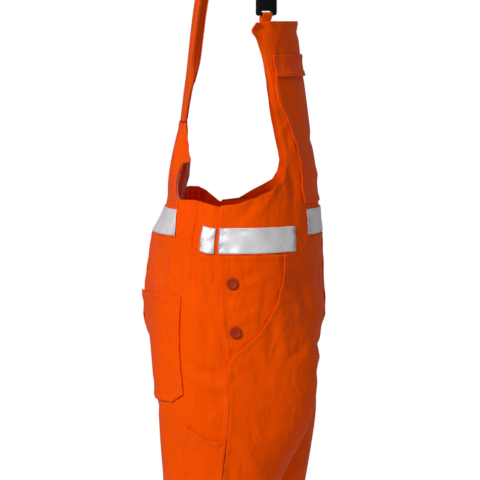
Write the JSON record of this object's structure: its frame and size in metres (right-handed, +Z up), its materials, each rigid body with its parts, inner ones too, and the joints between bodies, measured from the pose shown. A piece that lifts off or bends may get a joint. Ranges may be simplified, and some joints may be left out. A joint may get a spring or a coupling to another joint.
{
  "type": "hi-vis bib trousers",
  "caption": "Hi-vis orange work bib trousers in worn form, with shoulder straps, side-release buckles, reflective waist tape, a bib pocket and side button openings.",
  "frame": {"origin": "middle of the shoulders, level with the top of the straps, where the wearer holds the garment", "axes": "+Z up from the hems to the shoulders, -Y towards the wearer's front (bib), -X towards the wearer's right side"},
  "size_m": [0.4229, 0.3464, 1.5726],
  "materials": {
    "orange_twill": "fluorescent orange polyester and cotton twill, matt, with a faint diagonal weave",
    "strap_webbing": "orange elastic strap, matt, stitched along both edges",
    "reflective_tape": "silver glass-bead reflective tape, satin, stitched along its edges",
    "edge_band": "grey woven binding, matt",
    "black_plastic": "black moulded acetal, satin",
    "button_plastic": "rust-orange moulded plastic, satin"
  },
  "bodies": {
    "root": {"front_leg_right": "orange_twill", "front_leg_left": "orange_twill", "back_leg_right": "orange_twill", "back_leg_left": "orange_twill", "hip_facing_right": "orange_twill", "hip_facing_left": "orange_twill", "front_bib": "orange_twill", "back_bib": "orange_twill", "waist_gather_right": "orange_twill", "waist_gather_left": "orange_twill", "bib_pocket": "orange_twill", "bib_pocket_flap": "orange_twill", "back_pocket_right": "orange_twill", "rule_pocket_right": "orange_twill", "strap_tab_right": "orange_twill", "strap_tab_left": "orange_twill", "strap_right": "strap_webbing", "strap_left": "strap_webbing", "tape_front": "reflective_tape", "tape_back": "reflective_tape", "tape_side_right": "reflective_tape", "tape_side_left": "reflective_tape", "tape_hip_right": "reflective_tape", "tape_hip_left": "reflective_tape", "back_edge_band_right": "edge_band", "back_edge_band_left": "edge_band", "buckle_socket_right": "black_plastic", "buckle_socket_left": "black_plastic", "buckle_plug_right": "black_plastic", "buckle_plug_left": "black_plastic", "button_upper_right": "button_plastic", "button_upper_left": "button_plastic", "button_lower_right": "button_plastic", "button_lower_left": "button_plastic"}
  },
  "joints": []
}
